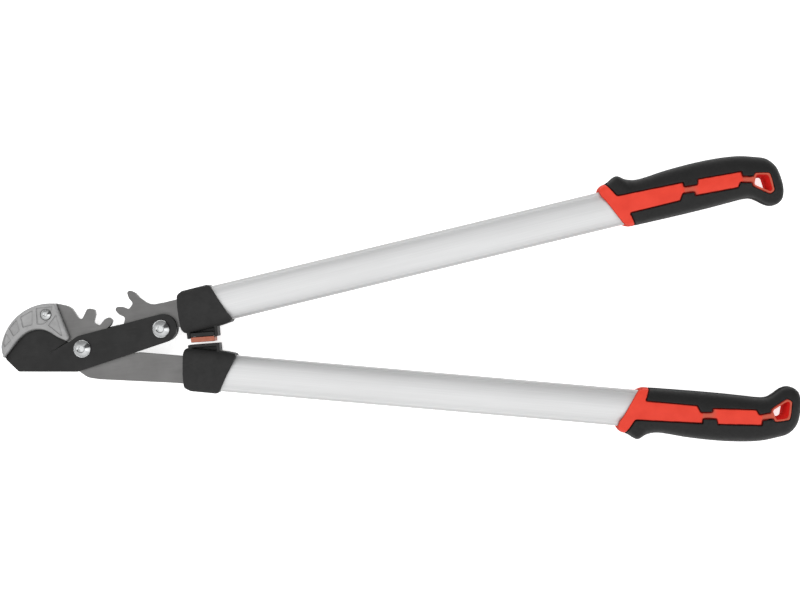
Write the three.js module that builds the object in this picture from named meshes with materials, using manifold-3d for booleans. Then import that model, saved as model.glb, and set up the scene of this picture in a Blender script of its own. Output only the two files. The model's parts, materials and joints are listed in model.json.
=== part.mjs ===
// A two-handed geared bypass lopper, lying flat with its front face up.
// X runs along the tool from the jaws to the grips, Y across it, and Z up through its thickness.
// Every shape below is drawn about the blade pivot, in millimetres, and the whole group is set down last.
import * as THREE from 'three';
import { mergeVertices } from 'three/addons/utils/BufferGeometryUtils.js';
import Module from 'manifold-3d';

const wasm = await Module();
wasm.setup();

const degrees = THREE.MathUtils.degToRad;

// ---------------------------------------------------------------- driving dimensions

const clearance = 0.3;

// Half the height of a cutter that has to pass right through the tool.
const through = 20;

// The two pivots, and how far each handle leans away from the long axis when the jaws are closed.
const pivotSpacing = 76;
const linkTilt = degrees(9.8);
const handleLean = degrees(9.28);

// Layers through the thickness, measured from the middle plane.
const plateHalf = 2.5;
const sideFace = plateHalf + clearance;
const bladeThickness = 4.5;
const rearLinkThickness = 4;
const coverThickness = 5;

// Gear sectors: the hook turns 1.25 times as far as the upper handle.
const hookTeethPerTurn = 12;
const handleTeethPerTurn = 15;
const hookTipRadius = 38;
const hookRootRadius = 26;
const handleTipRadius = 47.6;
const handleRootRadius = 36.4;
const pressureAngle = degrees(20);
const toothBacklash = 1.7;

// Pivot hardware.
const boltShank = 8;
const bushOuter = 11;
const boltHead = 16.6;
const boltHeadHeight = 4.2;
const washerOuter = 16;
const washerThickness = 1.4;
const boltSocket = 5;
const boltSocketDepth = 2.4;
const nutAcrossFlats = 13;
const nutHeight = 4.6;
const threadBeyondNut = 0.8;

// The screw that holds the two covers to the hook, sunk in their pockets.
const pocketDepth = 0.9;
const coverScrewPlace = [-31.3, 34.3];
const coverScrewShank = 4;
const coverScrewSeat = 11.4;
const coverScrewHead = 9.4;
const coverScrewHeadHeight = 2.4;
const coverScrewSocket = 2.5;
const coverScrewLength = 2;
const coverNutAcrossFlats = 7;
const coverNutHeight = 3;

// Handles: an oval tube, whose axis lies outboard of its pivot.
const tubeWidth = 35.2;
const tubeDepth = 21;
const tubeWall = 1.6;
const tubeStart = 28;
const tubeEnd = 542;
const upperAxisOffset = 10.7;
const lowerAxisOffset = 11.4;
const lowerSetback = 77.3;
const tangHalfWidth = 13;
const tangEnd = 78;
const rivetDiameter = 5;
const rivetPlaces = [37, 50];

// Collars and their bump stop, which lies along the tool's long axis.
const collarHalfWidth = 21.5;
const collarHalfDepth = 13.2;
const stopHalfDepth = 8;

// Grips, drawn from the lip of the red ring.
const gripStart = 426.4;
const gripPocketEnd = 118;
const coreHalfWidth = 18.9;
const coreHalfDepth = 11.8;

const handlePivot = new THREE.Vector2(Math.cos(linkTilt), Math.sin(linkTilt)).multiplyScalar(pivotSpacing);

// ---------------------------------------------------------------- materials

const finishes = {
  coated_blade: [0x2f2f2f, 0.5, 0.6],
  plate_steel: [0x75736f, 0.42, 0.9],
  cast_alloy: [0xa2a29f, 0.5, 0.8],
  plated_steel: [0xc9cbcb, 0.22, 1],
  bronze: [0x9a7440, 0.4, 0.9],
  collar_nylon: [0x2c2c2d, 0.6, 0],
  anodised_aluminium: [0xd0d1d2, 0.42, 0.75],
  hard_red: [0xe24b3c, 0.38, 0],
  soft_black: [0x262627, 0.75, 0],
  bumper_rubber: [0xc4573a, 0.6, 0],
};

function node(name, finish, geometry) {
  const [color, roughness, metalness] = finishes[finish];
  const mesh = new THREE.Mesh(geometry, new THREE.MeshStandardMaterial({ color, roughness, metalness }));
  mesh.name = name;
  return mesh;
}

// ---------------------------------------------------------------- solid and outline helpers

function solidOf(geometry) {
  const bare = geometry.index ? geometry.toNonIndexed() : geometry.clone();
  bare.deleteAttribute('normal');
  bare.deleteAttribute('uv');
  const merged = mergeVertices(bare, 1e-4);
  const mesh = new wasm.Mesh({
    numProp: 3,
    vertProperties: new Float32Array(merged.attributes.position.array),
    triVerts: new Uint32Array(merged.index.array),
  });
  return new wasm.Manifold(mesh);
}

function geometryOf(solid) {
  const mesh = solid.getMesh();
  const geometry = new THREE.BufferGeometry();
  geometry.setAttribute('position', new THREE.BufferAttribute(mesh.vertProperties, 3));
  geometry.setIndex(new THREE.BufferAttribute(mesh.triVerts, 1));
  geometry.computeVertexNormals();
  return geometry;
}

// Corners are [x, y] or [x, y, radius]; a corner with a radius becomes an arc.
function rounded(corners, arcStep = degrees(14)) {
  const points = [];
  corners.forEach(([x, y, radius = 0], index) => {
    const corner = new THREE.Vector2(x, y);
    if (radius === 0) {
      points.push(corner);
      return;
    }
    const back = new THREE.Vector2(...corners.at(index - 1).slice(0, 2)).sub(corner);
    const ahead = new THREE.Vector2(...corners[(index + 1) % corners.length].slice(0, 2)).sub(corner);
    const room = 0.49 * Math.min(back.length(), ahead.length());
    back.normalize();
    ahead.normalize();
    const half = Math.acos(THREE.MathUtils.clamp(back.dot(ahead), -1, 1)) / 2;
    const reach = Math.min(radius / Math.tan(half), room);
    const centre = back.clone().add(ahead).normalize().multiplyScalar(reach / Math.cos(half)).add(corner);
    const start = back.clone().multiplyScalar(reach).add(corner);
    const sweep = (Math.PI - 2 * half) * (back.cross(ahead) > 0 ? -1 : 1);
    const steps = Math.max(1, Math.ceil(Math.abs(sweep) / arcStep));
    for (let step = 0; step <= steps; step += 1) {
      points.push(start.clone().rotateAround(centre, (sweep * step) / steps));
    }
  });
  return points;
}

function arc(centreX, centreY, radius, fromAngle, toAngle, arcStep = degrees(7)) {
  const steps = Math.ceil(Math.abs(toAngle - fromAngle) / arcStep);
  return Array.from({ length: steps + 1 }, (_, step) => {
    const angle = fromAngle + ((toAngle - fromAngle) * step) / steps;
    return [centreX + radius * Math.cos(angle), centreY + radius * Math.sin(angle)];
  });
}

function smooth(points, divisions) {
  const curve = new THREE.SplineCurve(points.map(([x, y]) => new THREE.Vector2(x, y)));
  return curve.getPoints(divisions).map((point) => [point.x, point.y]);
}

// Moves each point of an open line sideways, to its left as it runs.
function besideLine(points, distance) {
  return points.map(([x, y], index) => {
    const [beforeX, beforeY] = points[Math.max(index - 1, 0)];
    const [afterX, afterY] = points[Math.min(index + 1, points.length - 1)];
    const along = new THREE.Vector2(afterX - beforeX, afterY - beforeY).normalize();
    return [x - along.y * distance, y + along.x * distance];
  });
}

function plate(corners, low, high, arcStep) {
  const shape = new THREE.Shape(rounded(corners, arcStep));
  const geometry = new THREE.ExtrudeGeometry(shape, { depth: high - low, bevelEnabled: false });
  return solidOf(geometry.translate(0, 0, low));
}

function box(lowX, highX, lowY, highY, lowZ, highZ) {
  const geometry = new THREE.BoxGeometry(highX - lowX, highY - lowY, highZ - lowZ);
  return solidOf(geometry.translate((lowX + highX) / 2, (lowY + highY) / 2, (lowZ + highZ) / 2));
}

// A turned piece about Z; the profile is [radius, height] points that start and end on the axis.
function turned(profile, x = 0, y = 0, sides = 32) {
  const geometry = new THREE.LatheGeometry(profile.map(([r, z]) => new THREE.Vector2(r, z)), sides);
  return solidOf(geometry.rotateX(Math.PI / 2).translate(x, y, 0));
}

function pin(diameter, low, high, x = 0, y = 0, sides = 24) {
  return turned([[0, low], [diameter / 2, low], [diameter / 2, high], [0, high]], x, y, sides);
}

function ring(outer, inner, low, high, x = 0, y = 0) {
  return pin(outer, low, high, x, y).subtract(pin(inner, low - 1, high + 1, x, y));
}

// A skin through rings of points that all have the same number of points, with flat ends.
function loft(rings) {
  const size = rings[0].length;
  const positions = rings.flat().flatMap((point) => [point.x, point.y, point.z]);
  const index = [];
  for (let row = 0; row < rings.length - 1; row += 1) {
    for (let k = 0; k < size; k += 1) {
      const a = row * size + k;
      const b = row * size + ((k + 1) % size);
      index.push(a, b, a + size, b, b + size, a + size);
    }
  }
  const last = (rings.length - 1) * size;
  for (let k = 1; k < size - 1; k += 1) {
    index.push(0, k + 1, k, last, last + k, last + k + 1);
  }
  const geometry = new THREE.BufferGeometry();
  geometry.setAttribute('position', new THREE.Float32BufferAttribute(positions, 3));
  geometry.setIndex(signedVolume(positions, index) > 0 ? index : index.reverse());
  return solidOf(geometry);
}

// Positive when the faces point out.
function signedVolume(positions, index) {
  const corner = (k) => new THREE.Vector3().fromArray(positions, 3 * index[k]);
  let sum = 0;
  for (let k = 0; k < index.length; k += 3) {
    sum += corner(k).dot(corner(k + 1).cross(corner(k + 2)));
  }
  return sum / 6;
}

// An oval section across the handle; power 2 is an ellipse, and a higher one is squarer.
function ovalRing(u, halfWidth, halfDepth, sides, power = 2) {
  return Array.from({ length: sides }, (_, k) => {
    const angle = (2 * Math.PI * k) / sides;
    const c = Math.cos(angle);
    const s = Math.sin(angle);
    const across = Math.sign(c) * Math.abs(c) ** (2 / power) * halfWidth;
    const up = Math.sign(s) * Math.abs(s) ** (2 / power) * halfDepth;
    return new THREE.Vector3(u, across, up);
  });
}

function ovalBar(fromU, toU, halfWidth, halfDepth, sides = 28, power = 2) {
  return loft([fromU, toU].map((u) => ovalRing(u, halfWidth, halfDepth, sides, power)));
}

// ---------------------------------------------------------------- gear teeth

const hookPitchRadius = (pivotSpacing * hookTeethPerTurn) / (hookTeethPerTurn + handleTeethPerTurn);
const handlePitchRadius = pivotSpacing - hookPitchRadius;

function involute(angle) {
  return Math.tan(angle) - angle;
}

// Half of a tooth's width, as an angle, at a radius; it stays the same below the base circle.
function toothHalfAngle(radius, pitchRadius, teethPerTurn) {
  const baseRadius = pitchRadius * Math.cos(pressureAngle);
  const slope = Math.acos(Math.min(1, baseRadius / radius));
  const atPitch = Math.PI / 2 / teethPerTurn - toothBacklash / 4 / pitchRadius;
  return atPitch + involute(pressureAngle) - involute(slope);
}

// One tooth's corners, in order of falling angle, about a pivot at (pivotX, pivotY).
function tooth(pivotX, pivotY, centreAngle, rootRadius, tipRadius, pitchRadius, teethPerTurn) {
  const at = (radius, angle, round) => [
    pivotX + radius * Math.cos(angle),
    pivotY + radius * Math.sin(angle),
    round,
  ];
  const middle = (pitchRadius + tipRadius) / 2;
  const flank = [
    [rootRadius, 2.6],
    [pitchRadius, 4],
    [middle, 3],
    [tipRadius, 2],
  ];
  const half = (radius) => toothHalfAngle(radius, pitchRadius, teethPerTurn);
  const rising = flank.map(([radius, round]) => at(radius, centreAngle + half(radius), round));
  const falling = flank.map(([radius, round]) => at(radius, centreAngle - half(radius), round)).reverse();
  return [...rising, ...falling];
}

const hookToothAngles = [63.6, 33.6, 3.6].map((rise) => linkTilt + degrees(rise));
const handleToothAngles = [-10.2, 13.8, 37.8, 61.8].map((rise) => linkTilt + Math.PI - degrees(rise));

const hookTeeth = hookToothAngles.flatMap((angle) =>
  tooth(0, 0, angle, hookRootRadius, hookTipRadius, hookPitchRadius, hookTeethPerTurn));
const handleTeeth = handleToothAngles.flatMap((angle) => {
  const { x, y } = handlePivot;
  return tooth(x, y, angle, handleRootRadius, handleTipRadius, handlePitchRadius, handleTeethPerTurn);
});

// ---------------------------------------------------------------- handle frames

// Places (u, v) of a handle's own frame: u along the tube, v outward from the tube's axis.
function onUpper(u, v, round) {
  const c = Math.cos(handleLean);
  const s = Math.sin(handleLean);
  const outward = v + upperAxisOffset;
  return [handlePivot.x + u * c - outward * s, handlePivot.y + u * s + outward * c, round];
}

function onLower(u, v, round) {
  const c = Math.cos(handleLean);
  const s = Math.sin(handleLean);
  const along = u + lowerSetback;
  const outward = v + lowerAxisOffset;
  return [along * c - outward * s, -along * s - outward * c, round];
}

// ---------------------------------------------------------------- cutting blade and rear link

const cuttingEdge = smooth(
  [
    [-15.2, 8.2], [-22.3, 12], [-29.5, 17.2], [-36.5, 20.3], [-44, 20.6],
    [-51.5, 18.1], [-58.5, 13], [-65.5, 5.3], [-72.6, -3.2],
  ],
  26,
);
const linkEnd = { x: handlePivot.x + 1.3, y: handlePivot.y + 0.5, radius: 13.3 };
const linkLowerSlope = degrees(13.6);
const linkUpperSlope = degrees(11.1);

function pivotHoles(solid, low, high) {
  const holeSize = boltShank + 2 * clearance;
  return solid
    .subtract(pin(holeSize, low - 1, high + 1))
    .subtract(pin(holeSize, low - 1, high + 1, handlePivot.x, handlePivot.y));
}

// The hollow ground face: it starts along a low line, and a stepped heel closes it beside the notch.
function groundFace(low, high) {
  const edgeThickness = 0.5;
  const lineStart = new THREE.Vector2(-10, -0.5);
  const lineEnd = new THREE.Vector2(-71, -5.6);
  const outside = besideLine(cuttingEdge, -3);
  const slices = cuttingEdge.map(([x, y], index) => {
    const share = index / (cuttingEdge.length - 1);
    const ground = lineStart.clone().lerp(lineEnd, share);
    const [outX, outY] = outside[index];
    const drop = (high - low - edgeThickness) / Math.hypot(x - ground.x, y - ground.y);
    const beyond = Math.hypot(outX - ground.x, outY - ground.y);
    return [
      new THREE.Vector3(ground.x, ground.y, high),
      new THREE.Vector3(outX, outY, Math.max(high - drop * beyond, low + 0.05)),
      new THREE.Vector3(outX, outY, high + 5),
      new THREE.Vector3(ground.x, ground.y, high + 5),
    ];
  });
  const heelLine = [[-13.2, 6.7], [-31.6, -2.2], [-40, -7], [-90, -10]];
  const beyond = [[-90, 60], [-5, 60], [-5, 15]];
  return loft(slices).intersect(plate([...heelLine, ...beyond], low - 1, high + 6));
}

function cuttingBlade() {
  const low = sideFace;
  const high = sideFace + bladeThickness;
  const outline = [
    [-60.6, -16.8, 2.5],
    [-5.8, -21, 7],
    ...arc(linkEnd.x, linkEnd.y, linkEnd.radius, linkLowerSlope - Math.PI / 2, linkUpperSlope + Math.PI / 2),
    [-3.6, 12.2, 9],
    [-12.9, 6.4, 0.8],
    ...cuttingEdge,
  ];
  return pivotHoles(plate(outline, low, high).subtract(groundFace(low, high)), low, high);
}

function rearLink() {
  const high = -sideFace;
  const low = high - rearLinkThickness;
  const outline = [
    ...arc(0, 0, 14.6, linkTilt + Math.PI / 2, linkTilt + 1.5 * Math.PI),
    ...arc(linkEnd.x, linkEnd.y, linkEnd.radius - 0.6, linkTilt - Math.PI / 2, linkTilt + Math.PI / 2),
  ];
  return pivotHoles(plate(outline, low, high), low, high);
}

// ---------------------------------------------------------------- hook plate, its covers, and the gear plate

const hookOuter = { x: -30.2, y: -1.4, radius: 46.2 };

// The first tooth's outer flank never meets another tooth, so a plain slope stands in for its corners.
const idleFlankCorners = 4;
const screwHole = coverScrewShank + 2 * clearance;

function rivetHoles(solid, place) {
  return rivetPlaces.reduce((left, u) => {
    const [x, y] = place(u, 0);
    return left.subtract(pin(rivetDiameter + 2 * clearance, -through, through, x, y, 16));
  }, solid);
}

function hookPlate() {
  const inner = besideLine(cuttingEdge, 3.2).slice(3, -1).reverse();
  const outline = [
    ...inner,
    [-17, -4, 8],
    [-14, -14, 8],
    [2, -27.4, 14],
    [13, -29.9, 20],
    onLower(-34, 15, 30),
    onLower(12, tangHalfWidth + 0.2, 30),
    onLower(tangEnd, tangHalfWidth, 2),
    onLower(tangEnd, -tangHalfWidth, 2),
    onLower(-25, -tangHalfWidth + 0.6, 9),
    [26, -8.3, 5],
    ...hookTeeth.slice(idleFlankCorners).reverse(),
    [6.4, 37.7, 3.2],
    [0.6, 27.5, 2.2],
    [-2.9, 28.6, 3.5],
    [-8.2, 38.4, 12],
    ...arc(hookOuter.x, hookOuter.y, hookOuter.radius - 0.2, degrees(66), degrees(170)),
    [-72.8, -3],
  ];
  const pivotHole = pin(bushOuter + 2 * clearance, -through, through);
  return rivetHoles(plate(outline, -plateHalf, plateHalf), onLower)
    .subtract(pin(screwHole, -through, through, ...coverScrewPlace))
    .subtract(pivotHole);
}

function coverOutline() {
  return [
    ...besideLine(cuttingEdge, -0.5),
    [-74, -3, 0.6],
    [-75.3, 2.6, 8],
    ...arc(hookOuter.x, hookOuter.y, hookOuter.radius, degrees(168), degrees(86)),
    [-22.2, 44.1, 2.2],
    [-11.5, 11, 2],
    [-13.6, 8.6, 1.5],
  ];
}

const coverPockets = [
  [[-69.8, 20.6], [-73, 11.6], [-72.2, 6.4], [-65.4, 12.8]],
  [[-58.7, 32], [-66.6, 24], [-62.8, 16.2], [-56.6, 21.3]],
  [[-43.2, 39.6], [-55.3, 34], [-53.7, 23.8], [-44.4, 25.7]],
  [[-40.2, 41.1], [-24, 41.7], [-30.2, 27.9], [-34.2, 25.6], [-40.2, 25.8]],
  [[-21.8, 34.2], [-30, 24.1], [-16.8, 12]],
];

function hookCover() {
  const low = sideFace;
  const high = sideFace + coverThickness;
  const cornerRadius = 0.9;
  const sunk = (pocket) =>
    plate(pocket.map(([x, y]) => [x, y, cornerRadius]), high - pocketDepth, high + 1, degrees(45));
  return coverPockets
    .reduce((left, pocket) => left.subtract(sunk(pocket)), plate(coverOutline(), low, high))
    .subtract(pin(screwHole, -through, through, ...coverScrewPlace))
    .subtract(pin(coverScrewSeat, high - pocketDepth, high + 1, ...coverScrewPlace, 32));
}

function gearPlate() {
  const outline = [
    onUpper(tangEnd, -tangHalfWidth, 2),
    onUpper(tangEnd, tangHalfWidth, 2),
    onUpper(8, tangHalfWidth, 30),
    onUpper(-6, tangHalfWidth + 0.6, 14),
    ...handleTeeth.slice().reverse(),
    [46, -2.6, 5],
    [70, -1.2, 12],
    onUpper(6, -tangHalfWidth, 10),
  ];
  const pivotHole = pin(bushOuter + 2 * clearance, -through, through, handlePivot.x, handlePivot.y);
  return rivetHoles(plate(outline, -plateHalf, plateHalf), onUpper).subtract(pivotHole);
}

// ---------------------------------------------------------------- fasteners

const frontFace = sideFace + bladeThickness + clearance;
const rearFace = sideFace + rearLinkThickness + clearance;

function hexagon(acrossFlats, x, y) {
  const radius = acrossFlats / Math.sqrt(3);
  return arc(x, y, radius, 0, (5 * Math.PI) / 3, Math.PI / 3);
}

function domedProfile(radius, low, height, shankRadius, end) {
  const rim = 0.9;
  const dome = arc(0, 0, 1, 0, Math.PI / 2, degrees(15)).map(([across, up]) => [
    across * radius,
    low + rim + up * (height - rim),
  ]);
  const shank = [[0, end], [shankRadius, end], [shankRadius, low]];
  return [...shank, [radius, low], ...dome.slice(0, -1), [0, low + height]];
}

function pivotBolt(x, y) {
  const end = -rearFace - washerThickness - nutHeight - threadBeyondNut;
  const bolt = turned(domedProfile(boltHead / 2, frontFace, boltHeadHeight, boltShank / 2, end), x, y);
  const top = frontFace + boltHeadHeight;
  return bolt.subtract(plate(hexagon(boltSocket, x, y), top - boltSocketDepth, top + 1));
}

function pivotNut(x, y) {
  const high = -rearFace - washerThickness - clearance;
  const nut = plate(hexagon(nutAcrossFlats, x, y), high - nutHeight + clearance, high);
  return nut.subtract(pin(boltShank + 2 * clearance, -through, 0, x, y));
}

function coverScrew() {
  const [x, y] = coverScrewPlace;
  const low = sideFace + coverThickness - pocketDepth + clearance;
  const end = -sideFace - coverThickness - coverScrewLength;
  const profile = domedProfile(coverScrewHead / 2, low, coverScrewHeadHeight, coverScrewShank / 2, end);
  const top = low + coverScrewHeadHeight;
  return turned(profile, x, y, 28).subtract(plate(hexagon(coverScrewSocket, x, y), low + 1, top + 1));
}

function coverNut() {
  const [x, y] = coverScrewPlace;
  const high = -sideFace - coverThickness + pocketDepth - clearance;
  return plate(hexagon(coverNutAcrossFlats, x, y), high - coverNutHeight, high)
    .subtract(pin(screwHole, -through, 0, x, y));
}

// ---------------------------------------------------------------- handle pieces, in the handle's own frame

function tube() {
  const outer = ovalBar(tubeStart, tubeEnd, tubeWidth / 2, tubeDepth / 2, 32);
  const bore = ovalBar(tubeStart - 1, tubeEnd + 1, tubeWidth / 2 - tubeWall, tubeDepth / 2 - tubeWall, 32);
  return throughRivets(outer.subtract(bore));
}

function throughRivets(solid) {
  const holeSize = rivetDiameter + 2 * clearance;
  return rivetPlaces.reduce((left, u) => left.subtract(pin(holeSize, -through, through, u, 0, 16)), solid);
}

function tangSlot(fromU, toU) {
  const halfSlot = plateHalf + clearance;
  return box(fromU, toU, -tangHalfWidth - clearance, tangHalfWidth + clearance, -halfSlot, halfSlot);
}

function tangPlug() {
  const gapToTube = tubeWall + clearance;
  const body = ovalBar(tubeStart + 1, tangEnd + 6, tubeWidth / 2 - gapToTube, tubeDepth / 2 - gapToTube, 24);
  return throughRivets(body.subtract(tangSlot(tubeStart - 1, tangEnd + clearance)));
}

function tubeRivet(u) {
  const half = tubeDepth / 2 - 0.1;
  return pin(rivetDiameter, -half, half, u, 0, 16);
}

// The lower collar's nose reaches a little further over its plate than the upper one's.
const collarOutline = (nose) => [
  [18.6 - nose, -15.5, 3],
  [20.4 - nose, 5, 30],
  [22.2 - nose, 16.4, 4],
  [27.4, 19.2, 5],
  [53.6, 19.4, 3.4],
  [67.4, -19.2, 1.6],
  [55, -20.6, 2],
  [20.6 - nose * 2, -20.4, 4],
];
const lowerCollarNose = 1;

// The collar's section is squarer than the tube's, and its body keeps to the outline seen from above.
function collarBody(nose = 0) {
  const round = ovalBar(14, 70, collarHalfWidth, collarHalfDepth, 32, 3);
  return round.intersect(plate(collarOutline(nose), -through, through));
}

function collarBore(solid) {
  const bore = ovalBar(tubeStart - 0.5, 80, tubeWidth / 2 + clearance, tubeDepth / 2 + clearance, 32);
  return solid.subtract(bore).subtract(tangSlot(0, tubeStart + 1));
}

// Turns a shape drawn in the tool's frame into a handle's own frame, on either side.
function intoHandle(side) {
  const inverse = new THREE.Matrix4().copy(handlePlacement(side)).invert();
  return (x, y) => {
    const point = new THREE.Vector3(x, y, 0).applyMatrix4(inverse);
    return [point.x, point.y];
  };
}

function handlePlacement(side) {
  const origin = side === 'upper' ? onUpper(0, 0) : onLower(0, 0);
  const place = new THREE.Matrix4().makeTranslation(origin[0], origin[1], 0);
  const lean = side === 'upper' ? handleLean : -handleLean;
  place.multiply(new THREE.Matrix4().makeRotationZ(lean));
  if (side === 'lower') {
    place.multiply(new THREE.Matrix4().makeRotationX(Math.PI));
  }
  return place;
}

function stopBlock(side, lowX, highX, lowY, highY, halfDepth, round = 0.5) {
  const toHandle = intoHandle(side);
  const corners = [[lowX, lowY], [highX, lowY], [highX, highY], [lowX, highY]];
  return plate(corners.map(([x, y]) => [...toHandle(x, y), round]), -halfDepth, halfDepth);
}

// The upper collar carries the bumper between two posts, below a gap that widens towards the grip.
const bumperTop = 3.2;
const bumperFoot = -2.1;
const holderTop = 6.6;
const stopWebHalfDepth = 3;

function upperCollar() {
  const posts = stopBlock('upper', 98.6, 101.4, 1.6, 16, stopHalfDepth)
    .add(stopBlock('upper', 124.6, 127.6, 2.4, 20, stopHalfDepth));
  const web = stopBlock('upper', 100, 126, holderTop + clearance, 16, stopWebHalfDepth);
  return collarBore(collarBody().add(posts).add(web));
}

function bumperHolder() {
  const beam = stopBlock('upper', 101.4 + clearance, 124.6 - clearance, bumperTop, holderTop, stopHalfDepth - 0.6);
  const slot = stopBlock('upper', 106, 121, bumperTop - 1, bumperTop + 2, 3.2);
  return beam.subtract(slot);
}

function bumperPad() {
  const tongue = stopBlock('upper', 106.3, 120.7, bumperTop - 2, bumperTop + 1.7, 2.9);
  return stopBlock('upper', 101.8, 124.2, bumperFoot, bumperTop - clearance, stopHalfDepth - 0.6, 0.8).add(tongue);
}

// The lower collar meets the bumper with a flat bar on two posts.
const strikeTop = -4;

function lowerCollar() {
  const bar = stopBlock('lower', 98.8, 128.2, strikeTop - 2.6, strikeTop, stopHalfDepth, 1);
  const posts = stopBlock('lower', 98.8, 101.4, -16, strikeTop - 0.6, stopHalfDepth)
    .add(stopBlock('lower', 125.2, 128.2, -22, strikeTop - 0.6, stopHalfDepth));
  const web = stopBlock('lower', 100, 127, -16, strikeTop - 1, stopWebHalfDepth);
  return collarBore(collarBody(lowerCollarNose).add(bar).add(posts).add(web));
}

// ---------------------------------------------------------------- grips, in the handle's own frame

// Matching points down the two sides of the grip, [outer u, outer v, inner u, inner v, half depth].
const gripSides = [
  [-4, 21.4, -4, -17.9, 11.2],
  [3, 22.6, 3, -18.4, 12.2],
  [11, 24.4, 10, -19.4, 13.2],
  [20.5, 28.4, 18, -20.3, 13.8],
  [29, 23.4, 29, -20.8, 14.2],
  [41, 20.8, 42, -21, 14.4],
  [68, 22.8, 68, -21.3, 14.6],
  [95, 23.4, 95, -21.3, 14.6],
  [118, 22.4, 116, -20.9, 14.6],
  [136, 20, 131, -20.6, 14.4],
  [150, 16, 139, -21.8, 14],
  [161, 11.6, 144.5, -25.4, 13.4],
  [168, 3.4, 149, -29.4, 12.8],
  [170.4, -7, 153, -32, 12],
  [170.6, -18, 157, -33.2, 10.6],
  [168.2, -27, 160.5, -33, 7.6],
  [164.6, -31, 162.4, -32.4, 3],
];

function gripBody() {
  const rings = gripSides.map(([outerU, outerV, innerU, innerV, halfDepth]) => {
    const middle = new THREE.Vector3((outerU + innerU) / 2, (outerV + innerV) / 2, 0);
    const across = new THREE.Vector3(outerU - innerU, outerV - innerV, 0);
    const half = across.length() / 2;
    across.normalize();
    return ovalRing(0, half, halfDepth, 16, 2.4).map((point) =>
      middle.clone().addScaledVector(across, point.y).setZ(point.z));
  });
  return loft(rings).translate([gripStart, 0, 0]);
}

// The red panel seen on each face: ring, two wide stretches, the necks between them, and the eyelet's stem.
const panelOutline = [
  [-10, 34], [3, 34], [15.5, 9.8, 2], [78, 7.6], [77.7, 3.3], [90, 2.3], [91.5, 7.3],
  [133, 4.6], [133, 0], [150, -3.8], [150, -11], [129.5, -5.2], [126.7, -9.5], [85.5, -7.5],
  [86, -3.9], [75, -2.8], [71.5, -8.6], [23.8, -8.9], [30.4, -30], [-10, -30],
];
const eyeletOutline = [
  [144.4, 0.6, 2.5], [158.6, -2.6, 3.4], [159.6, -19.6, 3], [155, -22.2, 3], [139.4, -10.6, 2.5],
];
const eyeletRim = 1.9;

function inGrip(corners) {
  return corners.map(([u, v, round]) => [u + gripStart, v, round]);
}

// Moves every corner of a closed outline outward, for the gap round a piece or the rim round a hole.
function grown(corners, distance) {
  const area = corners.reduce((sum, [x, y], index) => {
    const [nextX, nextY] = corners[(index + 1) % corners.length];
    return sum + x * nextY - nextX * y;
  }, 0);
  return corners.map(([x, y, round], index) => {
    const corner = new THREE.Vector2(x, y);
    const back = corner.clone().sub(new THREE.Vector2(...corners.at(index - 1).slice(0, 2))).normalize();
    const next = corners[(index + 1) % corners.length];
    const ahead = new THREE.Vector2(...next.slice(0, 2)).sub(corner).normalize();
    const normal = new THREE.Vector2(back.y + ahead.y, -back.x - ahead.x).normalize();
    const spread = Math.max(0.35, normal.dot(new THREE.Vector2(ahead.y, -ahead.x)));
    const reach = (distance * Math.sign(area)) / spread;
    return [x + normal.x * reach, y + normal.y * reach, round];
  });
}

function gripCut(corners, gap = 0) {
  return plate(inGrip(grown(corners, gap)), -through, through);
}

// The ring's lip leans across the tube and turns back round the ring's two tips.
const ringLip = [
  [12, 27], [7.4, 24.6], [3.2, 21.6], [1.3, 18.4], [1.1, 15], [1.9, 12], [4.6, 7],
  [9.8, -4.5], [14.8, -14], [18, -17.8], [22, -20.4], [27, -22.6], [30, -26],
];

function lipCut() {
  return plate(inGrip([[-20, -26], [-20, 27], ...smooth(ringLip, 2 * ringLip.length)]), -through, through);
}

function coreBar(gap) {
  return ovalBar(gripStart - 6, gripStart + 138 + gap, coreHalfWidth + gap, coreHalfDepth + gap, 20);
}

function gripHole() {
  return gripCut(eyeletOutline, -eyeletRim);
}

function gripCore(body) {
  const shown = gripCut(panelOutline).add(gripCut(eyeletOutline));
  const pocket = ovalBar(
    gripStart - 10,
    gripStart + gripPocketEnd,
    tubeWidth / 2 + clearance,
    tubeDepth / 2 + clearance,
    24,
  );
  return body.intersect(shown.add(coreBar(0))).subtract(lipCut()).subtract(pocket).subtract(gripHole());
}

function gripSleeve(body) {
  const shown = gripCut(panelOutline, clearance).add(gripCut(eyeletOutline, clearance));
  return body.subtract(shown).subtract(coreBar(clearance));
}

// ---------------------------------------------------------------- assembly

function handle(side) {
  const group = new THREE.Group();
  const body = gripBody();
  const pieces = [
    ['collar', 'collar_nylon', side === 'upper' ? upperCollar() : lowerCollar()],
    ['tang_plug', 'collar_nylon', tangPlug()],
    ['tube', 'anodised_aluminium', tube()],
    ...rivetPlaces.map((u, index) => [`tube_rivet_${index + 1}`, 'plated_steel', tubeRivet(u)]),
    ['grip_core', 'hard_red', gripCore(body)],
    ['grip_sleeve', 'soft_black', gripSleeve(body)],
  ];
  if (side === 'upper') {
    group.add(node('bumper_holder', 'collar_nylon', geometryOf(bumperHolder())));
    group.add(node('bumper_pad', 'bumper_rubber', geometryOf(bumperPad())));
  }
  pieces.forEach(([name, finish, solid]) => group.add(node(`${side}_${name}`, finish, geometryOf(solid))));
  group.applyMatrix4(handlePlacement(side));
  return group;
}

function pivotSet(name, x, y) {
  const group = new THREE.Group();
  const washerTop = -rearFace;
  group.add(
    node(`${name}_bolt`, 'plated_steel', geometryOf(pivotBolt(x, y))),
    node(`${name}_washer`, 'plated_steel', geometryOf(
      ring(washerOuter, boltShank + 2 * clearance, washerTop - washerThickness, washerTop, x, y))),
    node(`${name}_nut`, 'plated_steel', geometryOf(pivotNut(x, y))),
    node(`${name}_bush`, 'bronze', geometryOf(
      ring(bushOuter, boltShank + 2 * clearance, -plateHalf, plateHalf, x, y))),
  );
  return group;
}

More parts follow.
